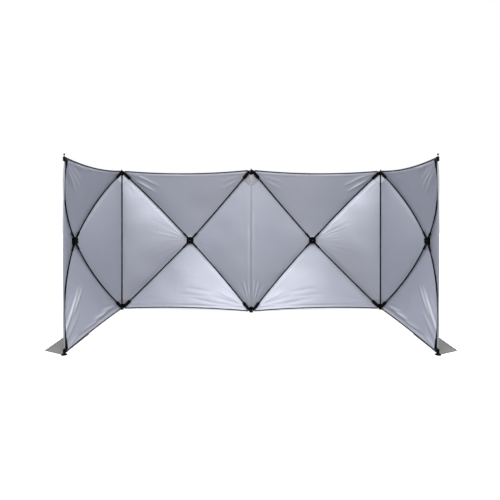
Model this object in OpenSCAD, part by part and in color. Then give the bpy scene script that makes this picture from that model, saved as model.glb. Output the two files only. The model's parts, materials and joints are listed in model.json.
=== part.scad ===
// Beach windbreak: four square bays in a row, each one fabric panel stretched by four bowed poles
// that spring from a central hub. Neighbouring bays swing about the fold line that they share.
// Frame: Z up, ground at zero, origin under the centre fold, the sheltered side towards -Y.

/* [Bays] */
// Width of one bay from fold line to fold line
bay_width = 1410; // [1200:10:1600]
// Height of the top hem corners above the ground
bay_height = 1500; // [1300:10:1700]
// Height of the bottom hem corners above the ground
hem_low = 10; // [9:1:30]
// Inside angle between the two middle bays
centre_fold_angle = 190; // [172:1:196]
// Inside angle between a wing and its middle bay
side_fold_angle = 85.5; // [75:0.5:180]

/* [Bulge] */
// How far the fabric stands out at a hub
hub_bulge = 232; // [180:2:260]
// Bow of a pole beyond its straight chord
pole_bow = 51; // [30:1:60]
// Drop of the hubs of the middle bays below mid-height
middle_hub_drop = 20; // [0:1:40]
// Rise of the hubs of the wings above mid-height
wing_hub_rise = 47; // [0:1:70]
// Dip of a top hem at the middle of a bay
hem_dip = 32; // [20:1:60]
// Rise of a middle bay's bottom hem at its middle
hem_rise = 20; // [0:1:60]
// Rise of a wing's bottom hem at its middle
wing_hem_rise = 3; // [0:1:60]
// Outward pull on a hem at the middle of a bay
hem_pull = 10; // [0:1:50]
// Hollow of the fabric between two poles
gore_sink = 47; // [0:1:60]
// Hollow of the fabric beside a side fold
fold_sink = 106; // [0:1:120]

/* [Fabric] */
// Thickness of the doubled fabric
fabric_t = 3; // [2:0.5:4]
// Diameter of a rolled hem
hem_d = 8; // [6:0.5:10]
// Distance from a corner at which a hem begins
hem_start = 36; // [34:1:60]
// Diameter of the binding on a fold line
binding_d = 20; // [16:0.5:24]

/* [Poles] */
// Diameter of a pole
pole_d = 12; // [9:0.5:13]
// Depth of a pole's axis behind the middle of the fabric
pole_inset = 19; // [18:0.5:24]

/* [Hubs] */
// Width of a hub across its flats
hub_w = 74; // [70:1:84]
// Corner radius of a hub
hub_round = 20; // [18:1:26]
// Thickness of a hub
hub_t = 28; // [26:1:34]
// Diameter of the boss under the rivet's head
boss_d = 30; // [26:1:34]
// Height of the boss under the rivet's head
boss_h = 3; // [2:0.5:4]
// Width of a hub's slots
slot_w = 15; // [14.5:0.5:17]
// Distance of a slot's inner end from the hub's axis
slot_start = 14; // [13:0.5:16]
// Distance of a pivot from the hub's axis
pivot_place = 27; // [26:0.5:29]
// Diameter of a pivot
pivot_d = 6; // [5:0.5:7]
// Length of a pivot
pivot_l = 29; // [26:0.5:31]
// Diameter of the cap on the outer side
cap_d = 64; // [56:1:70]
// Thickness of the cap's rim
cap_t = 4; // [3:0.5:6]
// Height of the cap's crown
cap_crown = 5; // [3:0.5:8]
// Diameter of the rivet through a hub
rivet_d = 10; // [8:0.5:12]
// Diameter of the rivet's head
rivet_head_d = 18; // [15:0.5:20]
// Height of the rivet's head
rivet_head_t = 3; // [2:0.5:4]
// Outer radius of the pull loop
loop_r = 24; // [20:1:28]
// Width of the pull loop's webbing
loop_w = 20; // [15:1:25]
// Thickness of the pull loop's webbing
loop_t = 2.5; // [2:0.5:4]

/* [Ferrules] */
// Outer diameter of a ferrule's socket
ferrule_d = 19; // [17:0.5:22]
// Distance from the hub's axis to the socket's mouth
ferrule_mouth = 112; // [100:1:130]
// Distance from the hub's axis to the socket's closed end
ferrule_neck = 46; // [44:1:50]
// Distance from the hub's axis to the pole's end
ferrule_seat = 58; // [54:1:70]
// Thickness of a ferrule's tongue
tongue_w = 13; // [12:0.5:14]
// Height of a ferrule's tongue
tongue_h = 12; // [10:0.5:13]

/* [Boots] */
// Distance from the fabric corner to a boot's narrow end
boot_start = 34; // [32:1:40]
// Distance from the fabric corner to a boot's mouth
boot_mouth = 116; // [105:1:130]
// Distance from the fabric corner to the pole's end
boot_seat = 52; // [48:1:60]
// Width of a boot at its mouth
boot_w = 33; // [30:0.5:36]
// Width of a boot at its narrow end
boot_neck_w = 28; // [19:0.5:30]
// Thickness of a boot
boot_t = 15.5; // [15:0.5:17]
// Corner radius of a boot's mouth
boot_round = 8; // [5:0.5:10]
// Thickness of the arm from a boot to its eye
arm_t = 4.4; // [4:0.1:4.8]
// Distance from the fold line at which an arm widens to both levels
arm_level = 18; // [17:0.5:20]

/* [Corner fittings] */
// Height of one eye
eye_h = 16; // [14:0.5:18]
// Depth of the stack of eyes below the top hem corner
eye_drop = 30; // [29:0.5:32]
// Diameter of a corner pin
pin_d = 6; // [5:0.5:7]
// Diameter of the ball on a corner pin
ball_d = 14; // [11:0.5:16]
// Height of the ball above the top hem corner at a free end
ball_rise = 21; // [18:0.5:40]
// Height of the ball above the top hem corner at a fold
fold_ball_rise = 9; // [8:0.5:40]
// Diameter of the collar under a ball
collar_d = 13; // [11:0.5:15]
// Height of the collar under a ball
collar_h = 5; // [4:0.5:6]
// Diameter of a foot
foot_d = 44; // [36:1:52]
// Height of a foot's rim
foot_rim = 5; // [4:0.5:6]
// Height of a foot
foot_h = 11; // [9:0.5:12]

/* [Sand flaps] */
// Length of a sand flap along the wing
flap_l = 520; // [400:10:640]
// Width of a sand flap on the ground
flap_w = 190; // [150:5:230]
// Slant of a sand flap's ends
flap_slant = 88; // [40:2:120]
// Distance of a sand flap from the wing's plane
flap_gap = 10; // [9:1:16]

/* [Hidden] */
$fn = 48;
BAYS = ["left_wing", "left_middle", "right_middle", "right_wing"];
FOLDS = ["left_fold", "centre_fold", "right_fold"];
ENDS = ["left_end", "right_end"];
BAY_PIECES = ["fabric", "hems", "poles", "ferrules", "boots", "hub", "hub_cap"];
FOLD_PIECES = ["binding", "tip", "foot"];
END_PIECES = ["hem", "tip", "foot", "flap"];
NODES = concat(
    [for (name = BAYS, piece = BAY_PIECES) str(name, "_", piece)],
    [for (name = FOLDS, piece = FOLD_PIECES) str(name, "_", piece)],
    [for (name = ENDS, piece = END_PIECES) str(name, "_", piece)]
);
node = "all";

// Clearances: a soft edge at its seat, the fabric over a hub and over the middle of a pole, a pin in
// its eye, a pole in its socket, one eye over another, the fabric beside an eye, and a cut past a face
soft_gap = 0.6;
hub_gap = 0.9;
pole_rest = 2.5;
pin_gap = 0.2;
pole_gap = 0.5;
eye_gap = 0.5;
fold_gap = 0.9;
cut = 1;

// Steps of the fabric from hub to hem and along a hem, steps and sides of a rolled hem
gore_rings = 12;
gore_steps = 12;
hem_steps = 16;
hem_sides = 8;
// Share of the way from hub to hem at which the fabric begins
fabric_start_share = 0.02;
// Share of the way from hub to hem at which the fabric's hollow begins, clear of the hub
hollow_start_share = 0.1;

fabric_colour = [0.66, 0.67, 0.73];
hem_colour = [0.2, 0.21, 0.26];
flap_colour = [0.6, 0.6, 0.59];
black = [0.07, 0.07, 0.08];

// Layout of the bays: where each starts, and the heading along it with the outside on its left
half_turn = (centre_fold_angle - 180) / 2;
bay_heading = [
    180 - half_turn - side_fold_angle,
    -half_turn,
    half_turn,
    180 + half_turn + side_fold_angle
];
function along(heading) = bay_width * [cos(heading), sin(heading), 0];
fold_place = [-along(bay_heading[1]), [0, 0, 0], along(bay_heading[2])];
end_place = [fold_place[0] - along(bay_heading[0]), fold_place[2] + along(bay_heading[3])];
bay_start = [end_place[0], fold_place[0], fold_place[1], fold_place[2]];

// Corners of a bay as [side, level]: side 0 at its start, level 0 at the ground
CORNERS = [[0, 0], [1, 0], [1, 1], [0, 1]];
eye_d = binding_d;
edge_gap = eye_d / 2 + fold_gap;
hem_gap = hem_d / 2 + soft_gap;
top_stack = bay_height - eye_drop;
low_stack = foot_h + eye_gap;
stack_h = 2 * eye_h + eye_gap;

function is_wing(bay) = bay == 0 || bay == len(BAYS) - 1;
function mid_height() = (hem_low + bay_height) / 2;
function hub_height(bay) = mid_height() + (is_wing(bay) ? wing_hub_rise : -middle_hub_drop);
function corner_x(corner) = corner[0] == 0 ? edge_gap : bay_width - edge_gap;
function corner_z(corner) = corner[1] == 0 ? hem_low + hem_gap : bay_height - hem_gap;

// Rise and fall along an edge, 1 at its middle
function swell(share) = 4 * share * (1 - share);
// Rise and fall of the fabric's hollow from hub to hem
function hollow(out) = max(out - hollow_start_share, 0) * (1 - pow(out, 3));
// Height of a hem's middle over its corners, at the bottom (level 0) or the top of a bay
function hem_curve(bay, level) = level != 0 ? -hem_dip : is_wing(bay) ? wing_hem_rise : hem_rise;
// Gore of a bay that lies beside a side fold
function side_fold_gore(bay) = bay % 2 == 0 ? 1 : 3;
// Outward place of the fabric on the line of a pole, at a share of the way from hub to corner:
// held off the pole at both ends, and stretched over it in the middle
ridge_bow = pole_bow + pole_d / 2 + fabric_t / 2 + pole_rest - pole_inset;
function ridge(share) = hub_bulge * (1 - share) + ridge_bow * swell(share);

// Pole of one corner: its run in the bay's plane, its chord, and the circle of its bow
function pole_dx(corner) = bay_width / 2 - corner_x(corner);
function pole_dz(bay, corner) = hub_height(bay) - corner_z(corner);
function pole_run(bay, corner) = norm([pole_dx(corner), pole_dz(bay, corner)]);
function pole_lean(bay, corner) = atan2(pole_dz(bay, corner), pole_dx(corner));
function pole_rise(bay, corner) = atan2(hub_bulge, pole_run(bay, corner));
function pole_chord(bay, corner) = norm([pole_run(bay, corner), hub_bulge]);
function bow_r(chord) = (chord * chord / 4 + pole_bow * pole_bow) / (2 * pole_bow);
function bow_half(chord) = asin(chord / 2 / bow_r(chord));
function arc_turn(length, radius) = length / radius * 180 / PI;

module in_bay(bay) {
    translate(bay_start[bay]) rotate(bay_heading[bay]) children();
}

// Frame of a pole's chord: X from the corner to the hub, Y outward, Z across the pole
module on_chord(bay, corner) {
    translate([corner_x(corner), -pole_inset, corner_z(corner)])
        rotate([0, -pole_lean(bay, corner), 0])
            rotate(pole_rise(bay, corner))
                children();
}

// Frame on a pole's bow at a turn from the middle of the arc, X along the pole towards the hub
module on_bow(bay, corner, turn) {
    chord = pole_chord(bay, corner);
    radius = bow_r(chord);
    on_chord(bay, corner)
        translate([chord / 2, pole_bow - radius, 0])
            rotate(turn)
                translate([0, radius, 0])
                    children();
}

// Frames of the straight fittings at a pole's ends, each in line with the pole at the middle of
// its bore: X is counted from the fabric corner at one end, and from the hub's axis at the other
boot_middle = (boot_seat + boot_mouth) / 2;
ferrule_middle = (ferrule_seat + ferrule_mouth) / 2;
function end_turn(bay, corner, length) =
    let (chord = pole_chord(bay, corner))
    bow_half(chord) - arc_turn(length, bow_r(chord));

module at_corner_end(bay, corner) {
    on_bow(bay, corner, end_turn(bay, corner, boot_middle))
        translate([-boot_middle, 0, 0])
            children();
}

module at_hub_end(bay, corner) {
    on_bow(bay, corner, -end_turn(bay, corner, ferrule_middle))
        translate([ferrule_middle, 0, 0])
            children();
}

// Cylinder along X from one place to another
module bar(from, to, diameter) {
    translate([from, 0, 0]) rotate([0, 90, 0]) cylinder(d = diameter, h = to - from);
}

// Cylinder along Y, the outward direction of a bay, from one place to another
module stud(from, to, diameter) {
    translate([0, from, 0]) rotate([-90, 0, 0]) cylinder(d = diameter, h = to - from);
}

// Fabric

// Point of a gore at a share of the way out from the hub and a share of the way along its edge
function gore_point(bay, gore, out, side) =
    let (
        first = CORNERS[gore],
        second = CORNERS[(gore + 1) % len(CORNERS)],
        hub = [bay_width / 2, hub_height(bay)],
        edge_a = [corner_x(first), corner_z(first)],
        edge_b = [corner_x(second), corner_z(second)],
        edge = edge_a + (edge_b - edge_a) * side,
        hemmed = gore % 2 == 0 ? 1 : 0,
        flat = hub + (edge - hub) * out,
        curve = hemmed * hem_curve(bay, gore / 2) * swell(side) * pow(out, 3),
        depth = gore == side_fold_gore(bay) ? fold_sink : gore_sink,
        sink = depth * pow(swell(side), 2) * hollow(out),
        pull = hemmed * hem_pull * swell(side) * pow(out, 3)
    )
    [flat[0], ridge(out) - sink + pull, flat[1] + curve];

// Share along a gore's edge at which it clears the seam on the line of a pole
function seam_share(out) = soft_gap / (out * min(bay_width, bay_height));

function gore_face_points(bay, gore, offset) = [
    for (i = [0:gore_rings], j = [0:gore_steps])
        let (
            out = fabric_start_share + (1 - fabric_start_share) * i / gore_rings,
            margin = seam_share(out),
            side = margin + (1 - 2 * margin) * j / gore_steps
        )
        gore_point(bay, gore, out, side) + [0, offset, 0]
];

// Triangles of a sheet with two faces of like grids, the second face's points after the first's
function sheet_triangles(rows, columns) =
    let (
        wide = columns + 1,
        face = (rows + 1) * wide,
        rim = concat(
            [for (j = [0:columns - 1]) j],
            [for (i = [0:rows - 1]) i * wide + columns],
            [for (j = [columns:-1:1]) rows * wide + j],
            [for (i = [rows:-1:1]) i * wide]
        )
    )
    concat(
        [for (i = [0:rows - 1], j = [0:columns - 1]) let (p = i * wide + j) each [
            [p, p + 1, p + wide + 1],
            [p, p + wide + 1, p + wide],
            [face + p, face + p + wide + 1, face + p + 1],
            [face + p, face + p + wide, face + p + wide + 1]
        ]],
        [for (k = [0:len(rim) - 1]) let (p = rim[k], q = rim[(k + 1) % len(rim)]) each [
            [p, face + p, face + q],
            [p, face + q, q]
        ]]
    );

module bay_fabric(bay) {
    color(fabric_colour) in_bay(bay) for (gore = [0:len(CORNERS) - 1])
        polyhedron(
            points = concat(
                gore_face_points(bay, gore, fabric_t / 2),
                gore_face_points(bay, gore, -fabric_t / 2)
            ),
            faces = sheet_triangles(gore_rings, gore_steps)
        );
}

// Points of a rolled hem, ring after ring, at the bottom (level 0) or the top of a bay
function hem_points(bay, level) = [
    for (i = [0:hem_steps], k = [0:hem_sides - 1])
        let (
            x = hem_start + (bay_width - 2 * hem_start) * i / hem_steps,
            rise = swell((x - edge_gap) / (bay_width - 2 * edge_gap)),
            turn = 360 * k / hem_sides,
            z = (level == 0 ? hem_low : bay_height) + hem_curve(bay, level) * rise
        )
        [x, hem_pull * rise + hem_d / 2 * cos(turn), z + hem_d / 2 * sin(turn)]
];

function tube_triangles(rings, sides) = concat(
    [for (i = [0:rings - 2], k = [0:sides - 1])
        let (p = i * sides + k, q = i * sides + (k + 1) % sides) each [
            [p, q, q + sides],
            [p, q + sides, p + sides]
        ]],
    [for (k = [1:sides - 2]) [0, k + 1, k]],
    [for (k = [1:sides - 2]) (rings - 1) * sides * [1, 1, 1] + [0, k, k + 1]]
);

module bay_hems(bay) {
    color(hem_colour) in_bay(bay) for (level = [0, 1])
        polyhedron(
            points = hem_points(bay, level),
            faces = tube_triangles(hem_steps + 1, hem_sides)
        );
}

// Poles

module pole(bay, corner) {
    chord = pole_chord(bay, corner);
    radius = bow_r(chord);
    corner_turn = end_turn(bay, corner, boot_seat);
    hub_turn = end_turn(bay, corner, ferrule_seat);
    on_chord(bay, corner)
        translate([chord / 2, pole_bow - radius, 0])
            rotate(90 - hub_turn)
                rotate_extrude(angle = corner_turn + hub_turn, $fn = 96)
                    translate([radius, 0])
                        circle(d = pole_d);
}

module bay_poles(bay) {
    color(black) in_bay(bay) for (corner = CORNERS) pole(bay, corner);
}

// Ferrules, each with a tongue and a pivot that lie in a slot of the hub

module ferrule() {
    difference() {
        union() {
            bar(-ferrule_mouth, -ferrule_neck, ferrule_d);
            translate([-ferrule_neck - cut, -tongue_h / 2, -tongue_w / 2])
                cube([ferrule_neck + cut - pivot_place, tongue_h, tongue_w]);
            translate([-pivot_place, 0, 0]) cylinder(d = tongue_h, h = tongue_w, center = true);
            translate([-pivot_place, 0, 0]) cylinder(d = pivot_d, h = pivot_l, center = true);
        }
        bar(-ferrule_mouth - cut, -ferrule_seat, pole_d + 2 * pole_gap);
    }
}

module bay_ferrules(bay) {
    color(black) in_bay(bay) for (corner = CORNERS) at_hub_end(bay, corner) ferrule();
}

// Hubs

hub_face = ridge(hub_w / bay_width) - fabric_t / 2 - hub_gap;
hub_back = hub_face - hub_t;
boss_face = hub_back - boss_h;

module at_hub_axis(bay) {
    translate([bay_width / 2, 0, hub_height(bay)]) children();
}

module round_square(side, radius) {
    reach = side / 2 - radius;
    square([side, 2 * reach], center = true);
    square([2 * reach, side], center = true);
    for (x = [-reach, reach], y = [-reach, reach]) translate([x, y]) circle(r = radius);
}

module bay_hub(bay) {
    color(black) in_bay(bay) difference() {
        at_hub_axis(bay) {
            translate([0, hub_face, 0])
                rotate([90, 0, 0])
                    linear_extrude(hub_t)
                        round_square(hub_w, hub_round);
            stud(boss_face, hub_back + cut, boss_d);
        }
        at_hub_axis(bay) stud(boss_face - cut, hub_face + cut, rivet_d + 2 * pin_gap);
        for (corner = CORNERS) at_hub_end(bay, corner) {
            translate([-hub_w, -hub_t, -slot_w / 2])
                cube([hub_w - slot_start, hub_t + tongue_h / 2 + cut, slot_w]);
            translate([-pivot_place, 0, 0])
                cylinder(d = pivot_d + 2 * pin_gap, h = pivot_l + 2 * pin_gap, center = true);
        }
    }
}

cap_face = hub_bulge + fabric_t / 2 + soft_gap;

module pull_loop() {
    rotate_extrude(angle = 180)
        translate([loop_r - loop_t, -loop_w / 2])
            square([loop_t, loop_w]);
}

module bay_hub_cap(bay) {
    color(black) in_bay(bay) at_hub_axis(bay) {
        stud(cap_face, cap_face + cap_t, cap_d);
        translate([0, cap_face + cap_t, 0])
            rotate([-90, 0, 0])
                cylinder(d1 = cap_d, d2 = cap_d - 2 * cap_crown, h = cap_crown);
        stud(boss_face - pin_gap - rivet_head_t, cap_face + cut, rivet_d);
        stud(boss_face - pin_gap - rivet_head_t, boss_face - pin_gap, rivet_head_d);
        translate([0, cap_face + cap_t + cap_crown - cut, 0]) pull_loop();
    }
}

// Boots at the corners, each with an arm to its eye on the corner pin

// Bottom and top of a boot's eye: the upper of two at a bay's start, the lower at its end,
// and both levels in one where the bay has no neighbour
function eye_base(corner) = corner[1] == 0 ? low_stack : top_stack;
function is_free(bay, corner) =
    (bay == 0 && corner[0] == 0) || (bay == len(BAYS) - 1 && corner[0] == 1);
function eye_bottom(bay, corner) =
    eye_base(corner) + (corner[0] == 0 && !is_free(bay, corner) ? eye_h + eye_gap : 0);
function eye_top(bay, corner) =
    eye_base(corner) + (corner[0] == 1 && !is_free(bay, corner) ? eye_h : stack_h);

// Point in the bay's plane at a distance along a pole and to one side of it
function beside_pole(bay, corner, length, side) =
    let (lean = pole_lean(bay, corner), flat = length * cos(pole_rise(bay, corner)))
    [
        corner_x(corner) + flat * cos(lean) - side * sin(lean),
        corner_z(corner) + flat * sin(lean) + side * cos(lean)
    ];

// Arm from an eye to its boot: at the level of its eye near the pin, as high as the stack beyond
module boot_arm(bay, corner) {
    inward = corner[0] == 0 ? 1 : -1;
    fold_x = corner[0] * bay_width;
    level_x = fold_x + inward * arm_level;
    joined_x = level_x + inward * cut;
    base = eye_base(corner);
    bottom = eye_bottom(bay, corner);
    top = eye_top(bay, corner);
    left = beside_pole(bay, corner, boot_start + cut, boot_neck_w / 2);
    right = beside_pole(bay, corner, boot_start + cut, -boot_neck_w / 2);
    upper = left[1] > right[1] ? left : right;
    lower = left[1] > right[1] ? right : left;
    translate([0, -fabric_t / 2 - soft_gap, 0])
        rotate([90, 0, 0])
            linear_extrude(arm_t) {
                polygon([[fold_x, bottom], [fold_x, top], [joined_x, top], [joined_x, bottom]]);
                polygon([[level_x, base], [level_x, base + stack_h], upper, lower]);
            }
}

// Club outline of a boot, widest at its mouth, with round corners there
module boot_outline() {
    round_x = boot_mouth - boot_round;
    round_y = boot_w / 2 - boot_round;
    polygon([
        [boot_start, -boot_neck_w / 2],
        [round_x, -boot_w / 2],
        [round_x, boot_w / 2],
        [boot_start, boot_neck_w / 2]
    ]);
    translate([round_x - cut, -round_y]) square([boot_round + cut, 2 * round_y]);
    for (side = [-1, 1]) translate([round_x, side * round_y]) circle(r = boot_round);
}

module boot_section() {
    square([boot_w - boot_t, boot_t], center = true);
    for (side = [-1, 1]) translate([side * (boot_w - boot_t) / 2, 0]) circle(d = boot_t);
}

module boot_body() {
    intersection() {
        translate([0, boot_t / 2, 0]) rotate([90, 0, 0]) linear_extrude(boot_t) boot_outline();
        rotate([90, 0, 90]) linear_extrude(boot_mouth) rotate(90) boot_section();
    }
}

module boot(bay, corner) {
    bottom = eye_bottom(bay, corner);
    top = eye_top(bay, corner);
    fold_x = corner[0] * bay_width;
    difference() {
        union() {
            translate([fold_x, 0, bottom]) cylinder(d = eye_d, h = top - bottom);
            boot_arm(bay, corner);
            at_corner_end(bay, corner) boot_body();
        }
        translate([fold_x, 0, bottom - cut])
            cylinder(d = pin_d + 2 * pin_gap, h = top - bottom + 2 * cut);
        at_corner_end(bay, corner) bar(boot_seat, boot_mouth + cut, pole_d + 2 * pole_gap);
    }
}

module bay_boots(bay) {
    color(black) in_bay(bay) for (corner = CORNERS) boot(bay, corner);
}

// Fittings on the fold lines and at the free ends

module binding(place, colour) {
    bottom = low_stack + stack_h + soft_gap;
    color(colour)
        translate(place + [0, 0, bottom])
            cylinder(d = binding_d, h = top_stack - soft_gap - bottom);
}

module tip(place, rise) {
    collar_z = top_stack + stack_h + pin_gap;
    ball_z = bay_height + rise;
    color(black) translate(place) {
        translate([0, 0, top_stack]) cylinder(d = pin_d, h = ball_z - top_stack);
        translate([0, 0, collar_z]) cylinder(d1 = collar_d, d2 = pin_d, h = collar_h);
        translate([0, 0, ball_z]) sphere(d = ball_d);
    }
}

module foot(place) {
    color(black) translate(place) {
        cylinder(d = foot_d, h = foot_rim);
        translate([0, 0, foot_rim]) cylinder(d1 = foot_d, d2 = eye_d, h = foot_h - foot_rim);
        cylinder(d = pin_d, h = low_stack + stack_h);
    }
}

// Hem of a wing's free edge, in the plane of the fabric
module end_hem(end) {
    bottom = low_stack + stack_h + soft_gap;
    edge = end == 0 ? edge_gap - hem_gap : bay_width - edge_gap + hem_gap;
    color(fabric_colour) in_bay(end == 0 ? 0 : len(BAYS) - 1)
        translate([edge, 0, bottom])
            cylinder(d = hem_d, h = top_stack - soft_gap - bottom);
}

// Flap that lies on the ground outside a wing, weighed down with sand
module end_flap(end) {
    near = end == 0 ? 0 : bay_width;
    step = end == 0 ? 1 : -1;
    color(flap_colour) in_bay(end == 0 ? 0 : len(BAYS) - 1)
        difference() {
            linear_extrude(fabric_t)
                polygon([
                    [near, flap_gap],
                    [near + step * flap_slant, flap_w],
                    [near + step * (flap_l - flap_slant), flap_w],
                    [near + step * flap_l, flap_gap]
                ]);
            translate([near, 0, -cut]) cylinder(d = foot_d + 2 * soft_gap, h = fabric_t + 2 * cut);
        }
}

function wanted(name, piece) = node == "all" || node == str(name, "_", piece);

for (bay = [0:len(BAYS) - 1]) {
    if (wanted(BAYS[bay], "fabric")) bay_fabric(bay);
    if (wanted(BAYS[bay], "hems")) bay_hems(bay);
    if (wanted(BAYS[bay], "poles")) bay_poles(bay);
    if (wanted(BAYS[bay], "ferrules")) bay_ferrules(bay);
    if (wanted(BAYS[bay], "boots")) bay_boots(bay);
    if (wanted(BAYS[bay], "hub")) bay_hub(bay);
    if (wanted(BAYS[bay], "hub_cap")) bay_hub_cap(bay);
}
for (fold = [0:len(FOLDS) - 1]) {
    if (wanted(FOLDS[fold], "binding")) binding(fold_place[fold], fold == 1 ? fabric_colour : black);
    if (wanted(FOLDS[fold], "tip")) tip(fold_place[fold], fold_ball_rise);
    if (wanted(FOLDS[fold], "foot")) foot(fold_place[fold]);
}
for (end = [0:len(ENDS) - 1]) {
    if (wanted(ENDS[end], "hem")) end_hem(end);
    if (wanted(ENDS[end], "tip")) tip(end_place[end], ball_rise);
    if (wanted(ENDS[end], "foot")) foot(end_place[end]);
    if (wanted(ENDS[end], "flap")) end_flap(end);
}
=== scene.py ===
"""Beach windbreak: the cloth, tapes, patches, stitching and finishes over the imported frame, and a plain studio."""

import json
import math

import bpy
import numpy as np
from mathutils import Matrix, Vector


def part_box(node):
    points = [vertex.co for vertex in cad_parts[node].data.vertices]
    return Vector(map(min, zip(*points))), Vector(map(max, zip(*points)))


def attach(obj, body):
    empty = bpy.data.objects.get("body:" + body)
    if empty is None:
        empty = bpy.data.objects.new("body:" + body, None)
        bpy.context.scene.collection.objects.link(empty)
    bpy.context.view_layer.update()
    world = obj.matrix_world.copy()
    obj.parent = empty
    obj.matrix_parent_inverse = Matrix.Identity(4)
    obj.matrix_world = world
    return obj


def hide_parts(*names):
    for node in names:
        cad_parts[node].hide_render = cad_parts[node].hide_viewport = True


bl_info = {
    "name": "Beach windbreak",
    "version": (1, 0, 0),
    "blender": (4, 5, 0),
    "location": "View3D > Sidebar > Windbreak",
    "description": "Dresses the windbreak's frame with cloth, tapes, stitching and finishes",
    "category": "Object",
}

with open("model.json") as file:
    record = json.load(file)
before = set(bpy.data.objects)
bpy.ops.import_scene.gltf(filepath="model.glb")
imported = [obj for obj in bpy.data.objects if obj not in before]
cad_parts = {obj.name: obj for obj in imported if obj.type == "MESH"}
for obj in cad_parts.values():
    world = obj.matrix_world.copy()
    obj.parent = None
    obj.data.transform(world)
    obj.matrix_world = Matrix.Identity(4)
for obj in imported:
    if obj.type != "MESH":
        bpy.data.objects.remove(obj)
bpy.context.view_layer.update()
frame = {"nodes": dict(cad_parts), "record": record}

BAYS = ["left_wing", "left_middle", "right_middle", "right_wing"]
FEET = ["left_end_foot", "left_fold_foot", "centre_foot", "right_fold_foot", "right_end_foot"]
# The bay that each fold's tape rides on, and the number of the fold's foot
FOLDS = {"left_fold": ("left_middle", 1), "centre_fold": ("left_middle", 2), "right_fold": ("right_middle", 3)}
# The number of each free end's wing
ENDS = {"left_end": 0, "right_end": 3}
# A bay's corners: 1 for right and 1 for top
CORNERS = [(0, 0), (1, 0), (1, 1), (0, 1)]
# Hem of a wing's free edge: its place along the wing from the corner pin, its width and its thickness
FREE_EDGE, EDGE_WIDTH, EDGE_THICKNESS = 0.006, 0.016, 0.0034
# Half-width of a side fold's tape, as a share of the binding
FOLD_SHARE = 0.55
# How metallic the coating of the sheltered side is
SATIN_METAL = 0.42
FOOT_PLACE = {m["name"]: np.array(m["pos_m"], float) for m in frame["record"]["mounts"]}


def linear(red, green, blue):
    """A colour given in screen values of 0 to 255, as the linear colour that shaders take."""
    return tuple(
        c / 12.92 if c <= 0.04045 else ((c + 0.055) / 1.055) ** 2.4
        for c in (red / 255, green / 255, blue / 255)
    ) + (1.0,)


def dimmed(colour, share):
    """A colour at a share of its strength."""
    return tuple(min(1, c * share) for c in colour[:3]) + (1,)


def length(name, description, default):
    return bpy.props.FloatProperty(
        name=name, description=description, default=default, min=0, precision=4, unit="LENGTH", subtype="DISTANCE"
    )


def share(name, description, default):
    return bpy.props.FloatProperty(
        name=name, description=description, default=default, min=0, max=1, precision=3, subtype="FACTOR"
    )


def colour(name, description, *screen):
    return bpy.props.FloatVectorProperty(
        name=name, description=description, default=linear(*screen), size=4, min=0, max=1, subtype="COLOR"
    )


class WindbreakSizes(bpy.types.PropertyGroup):
    """Sizes of the cloth and of what is sewn to it"""

    cloth_thickness: length("Cloth thickness", "Thickness of a panel's cloth", 0.0012)
    hub_bulge: length("Hub bulge", "How far a panel stands out at its hub", 0.232)
    ridge_bow: length("Ridge bow", "Bow of a panel over a pole beyond the straight line", 0.042)
    gore_sink: length("Gore sink", "Hollow of a panel between two poles", 0.047)
    fold_sink: length("Fold sink", "Hollow of a panel beside a side fold", 0.106)
    hollow_start: share("Hollow start", "Share of the way from hub to edge at which the hollow begins", 0.1)
    hem_dip: length("Top hem dip", "Dip of a top hem at the middle of a bay", 0.032)
    hem_rise: length("Bottom hem rise", "Rise of a middle bay's bottom hem at its middle", 0.020)
    wing_hem_rise: length("Wing hem rise", "Rise of a wing's bottom hem at its middle", 0.003)
    hem_pull: length("Hem pull", "Outward pull on a hem at the middle of a bay", 0.010)
    hem_low: length("Bottom hem", "Height of a bottom hem at its corners", 0.010)
    hem_high: length("Top hem", "Height of a top hem at its corners", 1.500)
    hem_width: length("Hem width", "Width of the hem tape", 0.0105)
    hem_thickness: length("Hem thickness", "Thickness of the folded hem tape", 0.0036)
    hem_start: length("Hem start", "Distance of the hem tape's ends from the fold lines", 0.036)
    edge_gap: length("Edge gap", "Distance of a panel's edge from the fold line", 0.006)
    binding: length("Binding", "Width of the binding on a fold line", 0.020)
    tab: length("Corner tab", "Length of the black tab at an end of a fold", 0.050)
    patch_thickness: length("Patch thickness", "Thickness of a corner patch", 0.0006)
    ring_inner: length("Ring hole", "Inner radius of the patch round a hub", 0.030)
    ring_outer: length("Ring edge", "Outer radius of the patch round a hub", 0.050)
    flap_length: length("Flap length", "Length of a sand flap along its wing", 0.520)
    flap_width: length("Flap width", "Reach of a sand flap on the ground", 0.190)
    flap_slant: length("Flap slant", "Slant of a sand flap's ends", 0.088)
    flap_gap: length("Flap gap", "Distance of a sand flap from its wing's plane", 0.010)
    stitch_pitch: length("Stitch pitch", "Distance from one stitch to the next", 0.006)
    stitch_length: length("Stitch length", "Length of one stitch", 0.0042)
    stitch_width: length("Stitch width", "Thickness of the thread", 0.0011)


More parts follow.
